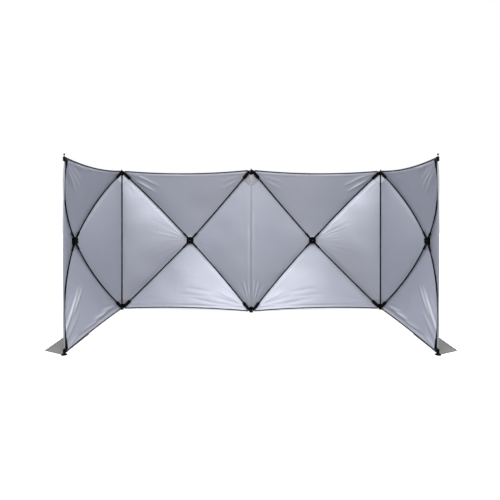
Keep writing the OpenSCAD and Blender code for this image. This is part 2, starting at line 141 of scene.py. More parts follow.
class WindbreakColours(bpy.types.PropertyGroup):
    """Colours of the cloth, tapes and fittings"""

    inside: colour("Inside", "Lavender-grey satin on the sheltered side", 176, 179, 191)
    # Painted highlight: the near-white that the inside cloth is blended to on the upper flanks of deep creases and
    # in bands beside the hems
    highlight_colour: colour("Highlight", "Coating that has whitened along creases and hems", 246, 247, 250)
    outside: colour("Outside", "Neutral grey of the weather side", 150, 151, 152)
    hem: colour("Hem tape", "Dark slate tape on the hems", 58, 60, 74)
    fold: colour("Fold tape", "Black tape on the side folds and corner tabs", 9, 9, 14)
    patch: colour("Patch", "Pale patch at the side folds' tops", 196, 199, 211)
    patch_grey: colour("Grey patch", "Greyer patch at the other corners", 160, 161, 165)
    flap: colour("Sand flap", "Neutral grey of the sand flaps", 131, 131, 129)
    plastic: colour("Fittings", "Black of hubs, ferrules and boots", 7, 7, 9)
    pole: colour("Poles", "Black of the poles", 7, 7, 11)
    # Darker than the inside cloth: painted shade of the groove along the centre fold
    seam: colour("Centre seam", "Cloth of the seam on the centre fold", 150, 152, 164)
    neck: colour("Tip neck", "Bare metal of the pin under a tip's ball", 150, 150, 152)
    # Grey of the raised cross on a rivet's head, far lighter than the black hub
    rivet: colour("Rivet cross", "Lighter cross on the head of a hub's rivet", 124, 124, 126)


class Bay:
    """One bay: its place and directions, and the surface that its cloth takes"""

    # Share of the usual hollow in the bottom gore of a middle bay
    FOOT_SINK = 0.7
    # Creases shallower than the first get no painted highlight, and those as deep as the second get it in full
    FAINT_CREASE, WHITE_CREASE = 0.004, 0.0125
    # How far a painted highlight makes the cloth paler in a band beside a hem, and beside the bottom hem of a middle
    # bay
    TURNED_IN, TURNED_IN_LEAST = 0.26, 0.06
    # The fold beside a hem: its height, its distance from the edge and its half-width
    BAND_HEIGHT, BAND_PLACE, BAND_WIDTH = 0.006, 0.022, 0.011

    def __init__(self, index, sizes):
        self.index, self.name, self.sizes = index, BAYS[index], sizes
        self.start = FOOT_PLACE[FEET[index]]
        run = FOOT_PLACE[FEET[index + 1]] - self.start
        self.width = float(np.linalg.norm(run))
        self.along = run / self.width
        self.out = np.array([-self.along[1], self.along[0], 0.0])
        low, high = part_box(self.name + "_hub")
        self.hub = np.array([self.width / 2, (low.z + high.z) / 2])
        self.is_wing = index in (0, 3)
        self.mirrored = index > 1
        self.fold_gore = 3 if index % 2 else 1
        self.free_gore = {0: 3, 3: 1}.get(index)
        edge = sizes.edge_gap
        self.corners = [
            np.array([self.width - edge if x else edge, sizes.hem_high if z else sizes.hem_low])
            for x, z in CORNERS
        ]
        self.streaks = creases(self)

    def place(self, x, outward, z):
        """Points in the shared frame from places along the bay, outward and up."""
        x, outward, z = np.broadcast_arrays(x, outward, z)
        points = self.start + x[..., None] * self.along + outward[..., None] * self.out
        points[..., 2] += z
        return points

    def from_side(self, x):
        """Places along the bay, counted from a middle bay's side fold or from a wing's free end."""
        return self.width - x if self.mirrored else x

    def at_centre(self, corner):
        return not self.is_wing and CORNERS[corner][0] != self.mirrored

    def clearances(self, gore, out, side):
        """Rough distances of the cloth from the nearer pole and from the edge of its gore."""
        edge = np.linalg.norm(self.corners[(gore + 1) % 4] - self.corners[gore])
        slanting = 0.7  # the poles run at about 45 degrees to the edges
        return out * edge * np.minimum(side, 1 - side) * slanting, (1 - out) * edge / 2

    def surface(self, gore, out, side):
        """Places along the bay, outward and up, of the cloth at a share of the way from the hub to
        the edge of a gore, and a share of the way along that edge."""
        s = self.sizes
        first, second = self.corners[gore], self.corners[(gore + 1) % 4]
        edge = first + (second - first) * side[..., None]
        flat = self.hub + (edge - self.hub) * out[..., None]
        swell = 4 * side * (1 - side)
        hemmed = gore % 2 == 0
        x, z = flat[..., 0], flat[..., 1] + hemmed * self.hem_curve(gore // 2) * swell * out**3
        from_pole, _ = self.clearances(gore, out, side)
        hollow = swell * ramp(from_pole, 0.004, 0.05) * np.maximum(out - s.hollow_start, 0) * (1 - out**3)
        pull = (hemmed or gore == self.free_gore) * s.hem_pull * swell * out**3
        outward = self.ridge(out) - self.sink(gore) * hollow + pull
        return x, outward + self.relief(gore, out, side, x, z), z

    def sink(self, gore):
        """Depth of a gore's hollow: most beside a side fold, least at the foot of a middle bay."""
        if gore == self.fold_gore:
            return self.sizes.fold_sink
        return self.sizes.gore_sink * (1 if gore or self.is_wing else self.FOOT_SINK)

    def hem_curve(self, level):
        """Height of the middle of the bottom or top hem over its corners."""
        if level:
            return -self.sizes.hem_dip
        return self.sizes.wing_hem_rise if self.is_wing else self.sizes.hem_rise

    def ridge(self, out):
        """Outward place of the cloth over a pole."""
        return self.sizes.hub_bulge * (1 - out) + self.sizes.ridge_bow * 4 * out * (1 - out)

    def relief(self, gore, out, side, x, z):
        """Creases, the fold beside a hem and slack in the cloth, fading out at the poles and sewn edges."""
        from_pole, from_edge = self.clearances(gore, out, side)
        if gore % 2 == 0:
            sewn = 0.35 + 0.65 * ramp(from_edge, 0.0, 0.04)
        elif self.is_wing or gore == self.fold_gore:
            sewn = ramp(from_edge, 0.0, 0.05)
        else:
            sewn = ramp(from_edge, -0.006, 0.006)
        held = sewn * ramp(from_pole, 0.006, 0.035)
        u = self.from_side(x)
        heights = np.zeros_like(x)
        for over, fade, wide, high in self.along_creases(u, z):
            heights += high * np.exp(-((over / wide) ** 2)) * fade
        if gore % 2 == 0:
            waver = 0.7 + 0.3 * np.sin(u * 9 + self.index + gore)
            band = np.exp(-(((from_edge - self.BAND_PLACE) / self.BAND_WIDTH) ** 2))
            heights += (-1 if gore else 1) * self.BAND_HEIGHT * waver * band
        slack = np.random.default_rng(70 + self.index)
        for _ in range(7):
            turn, wave, shift = slack.uniform(0, math.pi), slack.uniform(0.22, 0.55), slack.uniform(0, 6.28)
            heights += 0.0006 * ripple(u * math.cos(turn) + z * math.sin(turn), wave, shift)
        return heights * held

    def along_creases(self, u, z):
        """For each crease the distance of places over it, its strength there, half-width and height."""
        for u0, z0, u1, z1, wide, high in self.streaks:
            du, dz = u1 - u0, z1 - z0
            long = math.hypot(du, dz)
            step = ((u - u0) * du + (z - z0) * dz) / long**2
            over = ((z - z0) * du - (u - u0) * dz) / math.copysign(long, du)
            yield over, np.sin(np.pi * np.clip(step, 0, 1)) ** 0.8, wide, high

    def painted_highlight(self, gore, out, x, z):
        """How far the cloth is painted paler as a painted highlight: on the upper flanks of its sharpest creases,
        and in a band beside a hem."""
        pale = np.zeros_like(x)
        for over, fade, wide, high in self.along_creases(self.from_side(x), z):
            if high < -self.FAINT_CREASE:
                # Painted highlight on the upper flank of each deep crease
                flank = np.exp(-((over / wide / 0.5 - 0.9) ** 2))
                pale = np.maximum(pale, (high / -self.WHITE_CREASE) ** 3 * fade * flank)
        if gore % 2 == 0:
            from_edge = (1 - out) * self.width / 2
            # Painted highlight in a band about 1 to 3 cm in from a hem
            turned = self.TURNED_IN if gore or self.is_wing else self.TURNED_IN_LEAST
            pale = np.maximum(pale, turned * (ramp(from_edge, 0.008, 0.012) - ramp(from_edge, 0.024, 0.032)))
        return pale

    def in_gore(self, x, z):
        """Gore, share outwards and share along the edge of flat places in the bay's plane."""
        dx, dz = x - self.hub[0], z - self.hub[1]
        low, high = self.corners[0], self.corners[2]
        shares = np.stack([
            dz / (low[1] - self.hub[1]),
            dx / (high[0] - self.hub[0]),
            dz / (high[1] - self.hub[1]),
            dx / (low[0] - self.hub[0]),
        ])
        gore = shares.argmax(0)
        out = np.maximum(shares.max(0), 1e-6)
        edge_x, edge_z = self.hub[0] + dx / out, self.hub[1] + dz / out
        x_share = (edge_x - low[0]) / (high[0] - low[0])
        z_share = (edge_z - low[1]) / (high[1] - low[1])
        side = np.choose(gore, [x_share, z_share, 1 - x_share, 1 - z_share])
        return gore, out, np.clip(side, 0, 1)

    def outward_at(self, x, z):
        """Outward place of the cloth over flat places in the bay's plane."""
        gore, out, side = self.in_gore(x, z)
        outward = np.zeros_like(x)
        for g in range(4):
            chosen = gore == g
            if chosen.any():
                outward[chosen] = self.surface(g, out[chosen], side[chosen])[1]
        return outward


def ramp(value, low, high):
    """0 below low, 1 above high, and a smooth rise between."""
    t = np.clip((value - low) / (high - low), 0, 1)
    return t * t * (3 - 2 * t)


def ripple(at, period, shift=0):
    """A wave of height 1 with a period in metres."""
    return np.sin(at * 2 * math.pi / period + shift)


def pair(first, second):
    """Two arrays as the two parts of flat places."""
    return np.stack(np.broadcast_arrays(first, second), -1)


def creases(bay):
    """Creases of a bay's cloth, each from one place to another with a half-width and a height. Places
    count from the side fold of a middle bay, or from the free end of a wing, and from the ground. In the
    list of a middle bay, a place below 0 counts from the centre fold."""
    random = np.random.default_rng(11 + bay.index)
    wide, high, low = bay.width, bay.sizes.hem_high, bay.sizes.hem_low
    found = []

    def fan(u, z, first, last, count, reach, height, thick=(0.006, 0.011), start=0.07):
        """Adds creases that spread from a place, between two turns in degrees."""
        for number, turn in enumerate(np.linspace(first, last, count) + random.uniform(-3, 3, count)):
            far = random.uniform(*reach)
            du, dz = math.cos(math.radians(turn)), math.sin(math.radians(turn))
            rise = random.uniform(*height) * (-1) ** number
            ends = (u + start * du, z + start * dz, u + far * du, z + far * dz)
            found.append((*ends, random.uniform(*thick), rise))

    hub_u, hub_z = wide / 2, bay.hub[1]
    fan(hub_u, hub_z, 140, 220, 15, (0.26, 0.56), (0.0005, 0.0011), start=0.06)
    fan(hub_u, hub_z, -36, 36, 9, (0.18, 0.36), (0.0003, 0.0007))
    fan(hub_u, hub_z, 55, 125, 6, (0.14, 0.26), (0.0002, 0.0005))
    fan(hub_u, hub_z, 235, 305, 6, (0.14, 0.26), (0.0002, 0.0005))
    if bay.is_wing:
        found += [
            (0.06, 0.085, 0.64, 0.405, 0.016, -0.0115),
            (0.33, 0.200, 0.70, 0.396, 0.015, -0.0105),
            (0.10, 0.070, 0.50, 0.220, 0.015, -0.0070),
            (0.22, 0.210, 0.48, 0.372, 0.014, -0.0060),
            (0.05, 0.028, 0.32, 0.052, 0.014, -0.0090),
            (0.68, 0.078, 1.04, 0.072, 0.016, -0.0110),
            (0.88, 0.100, 1.26, 0.070, 0.016, -0.0100),
            (0.40, 0.060, 0.80, 0.055, 0.014, -0.0080),
            (0.95, 0.150, 1.25, 0.110, 0.014, -0.0050),
            (0.10, 1.462, 0.50, 1.285, 0.015, -0.0080),
            (0.12, 1.440, 0.49, 1.235, 0.015, -0.0075),
            (0.15, 1.462, 0.48, 1.338, 0.014, -0.0060),
            (0.10, 1.485, 0.52, 1.420, 0.014, -0.0050),
        ]
        fan(0.03, high - 0.03, -22, -62, 8, (0.24, 0.50), (0.0018, 0.0034), (0.009, 0.014), 0.09)
        fan(0.03, low + 0.03, 12, 38, 4, (0.2, 0.4), (0.0008, 0.0018), (0.008, 0.012), 0.09)
        fan(wide - 0.03, high - 0.03, 195, 222, 4, (0.2, 0.36), (0.0010, 0.0020), (0.008, 0.012), 0.09)
        fan(wide - 0.03, low + 0.03, 140, 168, 4, (0.2, 0.36), (0.0010, 0.0020), (0.008, 0.012), 0.09)
    else:
        tall = 0.45 if bay.mirrored else 0.95
        marks = [
            (0.13, 1.404, 0.35, 1.272, 0.015, -0.0090),
            (0.17, 1.441, 0.40, 1.337, 0.014, -0.0070),
            (0.10, 1.462, 0.30, 1.400, 0.013, -0.0050),
            (-0.14, 1.400, -0.34, 1.295, 0.014, -0.0045),
            (-0.12, 1.440, -0.34, 1.370, 0.013, -0.0040),
            (-0.10, 0.065, -0.44, 0.150, 0.012, 0.0024),
            (-0.14, 0.055, -0.56, 0.095, 0.012, 0.0022),
            (-0.11, 0.085, -0.38, 0.200, 0.012, -0.0024),
            (-0.10, 0.100, -0.34, 0.245, 0.012, 0.0022),
            (-0.42, 0.186, -0.73, 0.229, 0.014, 0.0024),
            (-0.36, 0.078, -0.71, 0.132, 0.014, 0.0028),
            (-0.46, 0.140, -0.81, 0.168, 0.014, 0.0020),
            (0.10, 0.065, 0.38, 0.130, 0.010, 0.0020),
            (0.10, 0.085, 0.32, 0.170, 0.010, -0.0016),
            (-0.016, 0.04, -0.016, tall, 0.009, 0.0042),
            (-0.016, 0.30, -0.016, 1.42, 0.009, 0.0018),
            (-0.040, 0.15, -0.046, 1.20, 0.012, -0.0012),
            (-0.014, 0.06, -0.046, 0.36, 0.009, -0.0050),
            (-0.016, 0.05, -0.070, 0.35, 0.009, 0.0058),
            (-0.020, 0.06, -0.098, 0.33, 0.010, -0.0048),
            (-0.024, 0.06, -0.130, 0.31, 0.010, 0.0042),
        ]
        for *places, thick, rise in marks:
            found.append((*(place + wide if place < 0 else place for place in places), thick, rise))
        fan(wide - 0.008, high - 0.04, 240, 264, 4, (0.2, 0.34), (0.0006, 0.0014), start=0.12)
        fan(0.01, high - 0.04, -84, -56, 4, (0.18, 0.3), (0.0006, 0.0012), start=0.12)
        fan(0.01, low + 0.03, 56, 84, 5, (0.18, 0.3), (0.0010, 0.0020), start=0.08)
    return found


def quads(grid):
    """Corners of the faces between the rows and columns of a grid."""
    return np.stack([grid[:-1, :-1], grid[:-1, 1:], grid[1:, 1:], grid[1:, :-1]], -1).reshape(-1, 4)


def joined(grid):
    """A grid whose first column follows its last one again."""
    return np.concatenate([grid, grid[:, :1]], axis=1)


class Shell:
    """Points and faces of closed pieces, gathered part by part"""

    def __init__(self):
        self.points, self.faces, self.sides, self.uv, self.tones, self.count = [], [], [], [], [], 0

    def sheet(self, near, far, uv, tone=0.0, round_it=False):
        """Closes the space between two like grids of points, rows by columns."""
        rows, columns = near.shape[:2]
        size = rows * columns
        grid = np.arange(size).reshape(rows, columns)
        if round_it:
            grid = joined(grid)
        front = quads(grid)
        lines = [grid[0], grid[-1][::-1]] + ([] if round_it else [grid[::-1, 0], grid[:, -1]])
        rims = [np.stack([line[1:], line[:-1], line[:-1] + size, line[1:] + size], -1) for line in lines]
        faces = np.concatenate([front, front[:, ::-1] + size, *rims])
        sides = np.concatenate([np.zeros(len(front), int), np.ones(len(faces) - len(front), int)])
        points = np.concatenate([near.reshape(-1, 3), far.reshape(-1, 3)])
        self.take(points, faces, sides, np.concatenate([uv.reshape(-1, 2)] * 2), tone)

    def tube(self, rings, uv):
        """A tube through rings of points, closed at both ends."""
        steps, around = rings.shape[:2]
        grid = joined(np.arange(steps * around).reshape(steps, around))
        caps = [
            [row[k], row[k + 1], row[around - 2 - k], row[around - 1 - k]][::way]
            for row, way in ((grid[0], -1), (grid[-1], 1))
            for k in range(around // 2 - 1)
        ]
        faces = np.concatenate([quads(grid), np.array(caps)])
        self.take(rings.reshape(-1, 3), faces, np.zeros(len(faces), int), uv.reshape(-1, 2), 0.0)

    def take(self, points, faces, sides, uv, tone):
        """Gathers one closed part, with its faces turned outwards."""
        a, b, c, d = (points[faces[:, i]] for i in range(4))
        volume = (np.cross(a, b) * c).sum() + (np.cross(a, c) * d).sum()
        self.faces.append((faces if volume > 0 else faces[:, ::-1]) + self.count)
        self.points.append(points)
        self.sides.append(sides)
        self.uv.append(uv)
        self.tones.append(np.broadcast_to(tone, len(points)).astype(float))
        self.count += len(points)

    def piece(self, name, body, slot, materials):
        """Makes the gathered parts one piece that rides on a body."""
        points, faces = np.concatenate(self.points), np.concatenate(self.faces)
        mesh = bpy.data.meshes.new(name)
        mesh.vertices.add(len(points))
        mesh.vertices.foreach_set("co", points.astype(np.float32).ravel())
        mesh.loops.add(faces.size)
        mesh.loops.foreach_set("vertex_index", faces.ravel().astype(np.int32))
        mesh.polygons.add(len(faces))
        mesh.polygons.foreach_set("loop_start", np.arange(0, faces.size, 4, dtype=np.int32))
        mesh.polygons.foreach_set("material_index", np.concatenate(self.sides).astype(np.int32) % len(materials))
        mesh.update(calc_edges=True)
        mesh.uv_layers.new(name="Cloth").data.foreach_set(
            "uv", np.concatenate(self.uv)[faces.ravel()].astype(np.float32).ravel()
        )
        mesh.attributes.new("tone", "FLOAT", "POINT").data.foreach_set(
            "value", np.concatenate(self.tones).astype(np.float32)
        )
        mesh.polygons.foreach_set("use_smooth", np.ones(len(faces), bool))
        if mesh.validate():
            raise RuntimeError(f"{name} has faces that can't be kept")
        for material in materials:
            mesh.materials.append(material)
        made = bpy.data.objects.new(name, mesh)
        bpy.context.scene.collection.objects.link(made)
        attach(made, body)
        return made


class Tone:
    """A socket of a shader tree that takes part in Python sums"""

    def __init__(self, tree, socket):
        self.tree, self.socket = tree, socket

    def node(self, kind, sockets=(), output=0, **settings):
        """Adds a node of a type with its settings, then the values or links of its sockets."""
        made = self.tree.nodes.new("ShaderNode" + kind)
        for name, value in settings.items():
            setattr(made, name, value)
        for name, value in dict(sockets).items():
            if isinstance(value, Tone):
                self.tree.links.new(value.socket, made.inputs[name])
            else:
                made.inputs[name].default_value = value
        return Tone(self.tree, made.outputs[output])

    def maths(self, operation, *terms):
        return self.node("Math", enumerate(terms), operation=operation)

    def __add__(self, other):
        return self.maths("ADD", self, other)

    def __rsub__(self, other):
        return self.maths("SUBTRACT", other, self)

    def __mul__(self, other):
        return self.maths("MULTIPLY", self, other)

    def noise(self, scale, detail=2.0, roughness=0.5):
        return self.node("TexNoise", {"Vector": self, "Scale": scale, "Detail": detail, "Roughness": roughness})

    def stretched(self, x, y, z):
        return self.node("Mapping", {"Vector": self, "Scale": (x, y, z)})

    def part(self, axis):
        return self.node("SeparateXYZ", {0: self}, output=axis)

    def waves(self, period):
        """Rises and falls from 0 to 1 with a period in metres."""
        return self.maths("SINE", self * (2 * math.pi / period)) * 0.5 + 0.5

    def between(self, low, high):
        """0 below low and 1 above high."""
        sockets = {"Value": self, "From Min": low, "From Max": high}
        return self.node("MapRange", sockets, interpolation_type="SMOOTHSTEP")

    def painted(self):
        """The tone that the points of a mesh carry."""
        return self.node("Attribute", output=2, attribute_name="tone")

    def blend(self, first, second):
        """Mixes two colours by this value."""
        return self.node("Mix", {0: self, 6: first, 7: second}, output=2, data_type="RGBA")

    def shaded(self, colour, depth):
        """A colour that this value, of 0 to 1, darkens and lightens by a share."""
        return self.blend(dimmed(colour, 1 - depth), dimmed(colour, 1 + depth))

    def bump(self, distance, strength=1.0, under=None):
        sockets = {"Height": self, "Distance": distance, "Strength": strength}
        if under is not None:
            sockets["Normal"] = under
        return self.node("Bump", sockets)


def surface_finish(name, build, source="Object", **constants):
    """A material whose varying sockets come from build, which gets the coordinates."""
    material = bpy.data.materials.new(name)
    material.use_nodes = True
    tree = material.node_tree
    shader = tree.nodes["Principled BSDF"]
    for socket, value in constants.items():
        shader.inputs[socket.replace("_", " ")].default_value = value
    start = tree.nodes.new("ShaderNodeTexCoord")
    for socket, value in build(Tone(tree, start.outputs[source])).items():
        tree.links.new(value.socket, shader.inputs[socket.replace("_", " ")])
    return material


def woven(at, period):
    """Height of a plain weave, 0 to 1, on coordinates in metres."""
    return at.part(0).waves(period) * 0.5 + at.part(1).waves(period) * 0.5


def satin_cloth(name, colour, roughness, depth, metal=SATIN_METAL, highlight_colour=None):
    """Coated cloth, clouded and slubbed, that is blended to a painted highlight colour where its points say so."""

    def build(at):
        weave = woven(at, 0.0016)
        slub = at.stretched(6, 320, 1).noise(1.0, 2.0) * 0.5 + at.stretched(320, 6, 1).noise(1.0, 2.0) * 0.5
        cloud = at.noise(2.6, 3.0)
        crinkle = at.noise(17.0, 4.0, 0.55)
        tone = cloud * 0.5 + slub * 0.35 + weave * 0.15
        soft = crinkle.bump(0.0022, 0.55)
        base = tone.shaded(colour, depth)
        # Painted highlight: the points' tone blends the cloth to the highlight colour
        if highlight_colour:
            base = at.painted().blend(base, tone.shaded(highlight_colour, depth))
        return {
            "Base_Color": base,
            "Roughness": cloud * 0.10 + slub * 0.06 + (roughness - 0.08),
            "Normal": weave.bump(0.00008, 0.35, soft),
        }

    return surface_finish(name, build, "UV", Specular_IOR_Level=0.45, Metallic=metal)


def tape_cloth(name, colour, depth):
    """Ribbed tape."""

    def build(at):
        rib = (at.part(0) + at.part(1)).waves(0.0022) * 0.6 + at.part(1).waves(0.0014) * 0.4
        wear = at.noise(38.0, 3.0)
        return {
            "Base_Color": (rib * 0.45 + wear * 0.55).shaded(colour, depth),
            "Roughness": wear * 0.12 + 0.66,
            "Normal": rib.bump(0.00025, 0.6),
        }

    return surface_finish(name, build, "UV", Specular_IOR_Level=0.05)


def patch_cloth(name, pale, grey):
    """Patch cloth, pale and plain or grey and coated by the tone of its points."""

    def build(at):
        weave = woven(at, 0.0018)
        kind = at.painted()
        cloud = at.noise(30.0, 3.0)
        mottle = cloud * 0.7 + weave * 0.3
        return {
            "Base_Color": kind.blend(mottle.shaded(pale, 0.05), mottle.shaded(grey, 0.06)),
            "Metallic": kind * SATIN_METAL,
            "Roughness": cloud * 0.1 + 0.42,
            "Normal": weave.bump(0.0001, 0.4, at.noise(60.0, 3.0).bump(0.001, 0.3)),
        }

    return surface_finish(name, build, "UV", Specular_IOR_Level=0.45)


def flap_cloth(name, colour):
    """Coarse dusty cloth with a darker hem."""

    def build(at):
        weave = woven(at, 0.0022)
        rim = at.painted()
        dust = at.noise(14.0, 4.0, 0.6)
        mottle = dust * 0.7 + weave * 0.3
        return {
            "Base_Color": rim.blend(mottle.shaded(colour, 0.10), mottle.shaded(dimmed(colour, 0.62), 0.10)),
            "Roughness": dust * 0.14 + 0.70,
            "Normal": weave.bump(0.0002, 0.5, at.noise(26.0, 3.0).bump(0.003, 0.4)),
        }

    return surface_finish(name, build, "UV", Specular_IOR_Level=0.3)


def moulded(name, colour, roughness, grain, scuff):
    """Moulded black plastic or rubber with a fine grain, a sheen that varies, and light scuffs."""

    def build(at):
        speck = at.noise(grain, 2.0)
        cloud = at.noise(22.0, 3.0)
        mark = at.noise(140.0, 4.0, 0.7).between(0.62, 0.78) * scuff
        rubbed = tuple(min(1, c * 2.2 + 0.02) for c in colour[:3]) + (1,)
        return {
            "Base_Color": mark.blend(cloud.shaded(colour, 0.25), rubbed),
            "Roughness": cloud * 0.16 + mark * 0.12 + (roughness - 0.08),
            "Normal": speck.bump(0.00015, 0.5),
        }

    return surface_finish(name, build, Specular_IOR_Level=0.06)


def tip_finish(name, colour, neck, low, high):
    """Black moulded tip whose pin is bare metal between two heights."""

    def build(at):
        height = at.part(2)
        bare = height.between(low, low + 0.0006) * (1 - height.between(high, high + 0.0006))
        cloud = at.noise(90.0, 3.0)
        return {
            "Base_Color": bare.blend(cloud.shaded(colour, 0.25), cloud.shaded(neck, 0.12)),
            "Metallic": bare * 0.6,
            "Roughness": cloud * 0.12 + bare * -0.1 + 0.38,
            "Normal": at.noise(2600.0, 2.0).bump(0.0001, 0.4),
        }

    return surface_finish(name, build, Specular_IOR_Level=0.06)


def thread(name, colour):
    """Twisted thread."""

    def build(at):
        twist = (at.part(0) + at.part(1) + at.part(2)).waves(0.0011)
        return {
            "Base_Color": (twist * 0.5 + at.noise(300.0) * 0.5).shaded(colour, 0.18),
            "Roughness": twist * 0.1 + 0.6,
            "Normal": twist.bump(0.0002, 0.6),
        }

    return surface_finish(name, build, Specular_IOR_Level=0.3)


def settings(context):
    return context.scene.windbreak_sizes, context.scene.windbreak_colours


def bays(context):
    return [Bay(index, context.scene.windbreak_sizes) for index in range(len(BAYS))]


def wings(context):
    """Each free end's name and wing."""
    return [(end, Bay(index, context.scene.windbreak_sizes)) for end, index in ENDS.items()]


class WINDBREAK_OT_panels(bpy.types.Operator):
    """Stretch one cloth panel over the poles of each bay"""

    bl_idname = "windbreak.panels"
    bl_label = "Cloth panels"

    RINGS = 88
    COLUMNS = 108

    def execute(self, context):
        sizes, colours = settings(context)
        materials = [
            # The inside cloth is blended to a painted highlight colour where its points' tone says so
            satin_cloth("satin_inside", colours.inside, roughness=0.46, depth=0.05, highlight_colour=colours.highlight_colour),
            satin_cloth("cloth_outside", colours.outside, roughness=0.62, depth=0.06, metal=0.0),
        ]
        # From hub to edge, closest at both. Along an edge, closest at the corners
        rows = np.linspace(0, 1, self.RINGS)
        rows = 0.02 + 0.98 * (0.75 * rows + 0.25 * rows**2 * (3 - 2 * rows))
        columns = np.arange(self.COLUMNS) / self.COLUMNS
        columns = 0.45 * columns + 0.55 * 0.5 * (1 - np.cos(np.pi * columns))
        out, side = np.meshgrid(rows, columns, indexing="ij")
        for bay in bays(context):
            gores = []
            for gore in range(4):
                x, outward, z = bay.surface(gore, out, side)
                # The painted highlights on crease flanks and beside hems, carried by the points' tone
                gores.append((x, outward, z, bay.painted_highlight(gore, out, x, z)))
            x, outward, z, pale = (np.concatenate(parts, axis=1) for parts in zip(*gores))
            half = sizes.cloth_thickness / 2
            near, far = bay.place(x, outward - half, z), bay.place(x, outward + half, z)
            shell = Shell()
            shell.sheet(near, far, pair(x, z), np.tile(pale.ravel(), 2), round_it=True)
            panel = shell.piece(bay.name + "_panel", bay.name, "fabric", materials)
            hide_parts(bay.name + "_fabric")
        return {"FINISHED"}


class WINDBREAK_OT_hems(bpy.types.Operator):
    """Fold the tape over the top and bottom edges, and turn in the free edges of the wings"""

    bl_idname = "windbreak.hems"
    bl_label = "Hems"

    STEPS = 150

    def execute(self, context):
        sizes, colours = settings(context)
        tape = [tape_cloth("hem_tape", colours.hem, depth=0.16)]
        for bay in bays(context):
            shell = Shell()
            for level in (0, 1):
                x = np.linspace(sizes.hem_start, bay.width - sizes.hem_start, self.STEPS)
                section, turns = folded_section(sizes.hem_width, sizes.hem_thickness)
                centre, outward = hem_line(bay, level, x)
                pucker = 0.0004 * ripple(x, 0.031, level) + 0.0003 * ripple(x, 0.083)
                inward = 1 if level == 0 else -1
                z = centre[:, None] + inward * section[:, 0]
                n = outward[:, None] + pucker[:, None] + section[:, 1]
                shell.tube(bay.place(x[:, None], n, z), pair(x[:, None], turns))
            hems = shell.piece(bay.name + "_hem_tape", bay.name, "hem_tape", tape)
            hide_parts(bay.name + "_hems")
        cloth = [satin_cloth("end_hem_cloth", colours.inside, roughness=0.5, depth=0.06)]
        for end, bay in wings(context):
            low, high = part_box(end + "_hem")
            z = np.linspace(low.z, high.z, self.STEPS)
            section, turns = folded_section(EDGE_WIDTH, EDGE_THICKNESS)
            edge = FREE_EDGE + section[:, 0] + 0.0004 * ripple(z, 0.047)[:, None]
            n = (free_edge_pull(sizes, z) + 0.0003 * ripple(z, 0.029))[:, None] + section[:, 1]
            shell = Shell()
            shell.tube(bay.place(bay.from_side(edge), n, z[:, None]), pair(turns, z[:, None]))
            hem = shell.piece(end + "_edge", bay.name, "fabric", cloth)
            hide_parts(end + "_hem")
        return {"FINISHED"}


def hem_line(bay, level, x):
    """Height and outward place of the line of a bay's bottom or top hem."""
    s = bay.sizes
    swell = 4 * (x - s.edge_gap) * (bay.width - s.edge_gap - x) / (bay.width - 2 * s.edge_gap) ** 2
    return (s.hem_high if level else s.hem_low) + bay.hem_curve(level) * swell, s.hem_pull * swell


def free_edge_pull(sizes, z):
    """Outward place of a wing's free edge at a height."""
    return sizes.hem_pull * 4 * (z - sizes.hem_low) * (sizes.hem_high - z) / (sizes.hem_high - sizes.hem_low) ** 2


def folded_section(wide, thick):
    """Section of a tape folded over an edge: round at the fold, with a lip on each face."""
    half, lip = thick / 2, 0.0006
    bend = np.linspace(-math.pi / 2, math.pi / 2, 7)
    nose = [(-0.3 * wide + half * (1 - math.cos(t)) - half, half * math.sin(t)) for t in bend]
    back = [(0.62 * wide, half), (0.7 * wide, half - lip), (0.7 * wide, -half + lip), (0.62 * wide, -half)]
    line = np.array(nose + back + [(0.2 * wide, -half)])
    turns = np.concatenate([[0], np.cumsum(np.linalg.norm(np.diff(line, axis=0), axis=1))])
    return line, turns


class WINDBREAK_OT_bindings(bpy.types.Operator):
    """Wrap the fold lines: in black tape at the sides, and in cloth with black ends at the centre"""

    bl_idname = "windbreak.bindings"
    bl_label = "Fold bindings"

    STEPS = 120
    AROUND = 20

    def execute(self, context):
        sizes, colours = settings(context)
        black = [tape_cloth("fold_tape", colours.fold, depth=0.2)]
        # The seam cloth's darker colour is painted shade of the groove at the centre fold
        seam = [satin_cloth("seam_cloth_painted_shade", colours.seam, roughness=0.5, depth=0.06)]
        turn = np.linspace(0, 2 * math.pi, self.AROUND, endpoint=False)

        def wrap(shell, place, section, z, swollen):
            """Adds a tube round a fold line, with a section that is swollen by a share."""
            x, y = (place[i] + section[i] * swollen * way(turn) for i, way in enumerate((np.cos, np.sin)))
            shell.tube(np.stack(np.broadcast_arrays(x, y, z), -1), pair(turn * section[0], z))

        for fold, (body, foot) in FOLDS.items():
            low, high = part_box(fold + "_binding")
            place = FOOT_PLACE[FEET[foot]]
            z = np.linspace(low.z, high.z, self.STEPS)[:, None]
            at_centre = fold == "centre_fold"
            section = fold_section(fold, sizes)
            shell = Shell()
            wrap(shell, place, section, z, 0.95 + (0.03 * ripple(z, 0.036, 2 * turn) + 0.02 * ripple(z, 0.11)))
            slot = "fabric" if at_centre else "fold_tape"
            made = shell.piece(fold + "_tape", body, slot, seam if at_centre else black)
            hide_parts(fold + "_binding")
            if at_centre:
                ends = Shell()
                for first, last in ((low.z, sizes.hem_low + sizes.tab), (sizes.hem_high - sizes.tab, high.z)):
                    wrap(ends, place, section, np.linspace(first, last, 12)[:, None], 1.15)
                ends.piece(fold + "_end_tapes", body, "fold_tape", black)
        return {"FINISHED"}


def fold_section(fold, sizes):
    """Half-width and half-depth of a fold's tape: round at the sides, a flat seam at the centre."""
    wide, deep = (0.4, 0.12) if fold == "centre_fold" else (FOLD_SHARE, FOLD_SHARE)
    return wide * sizes.binding, deep * sizes.binding


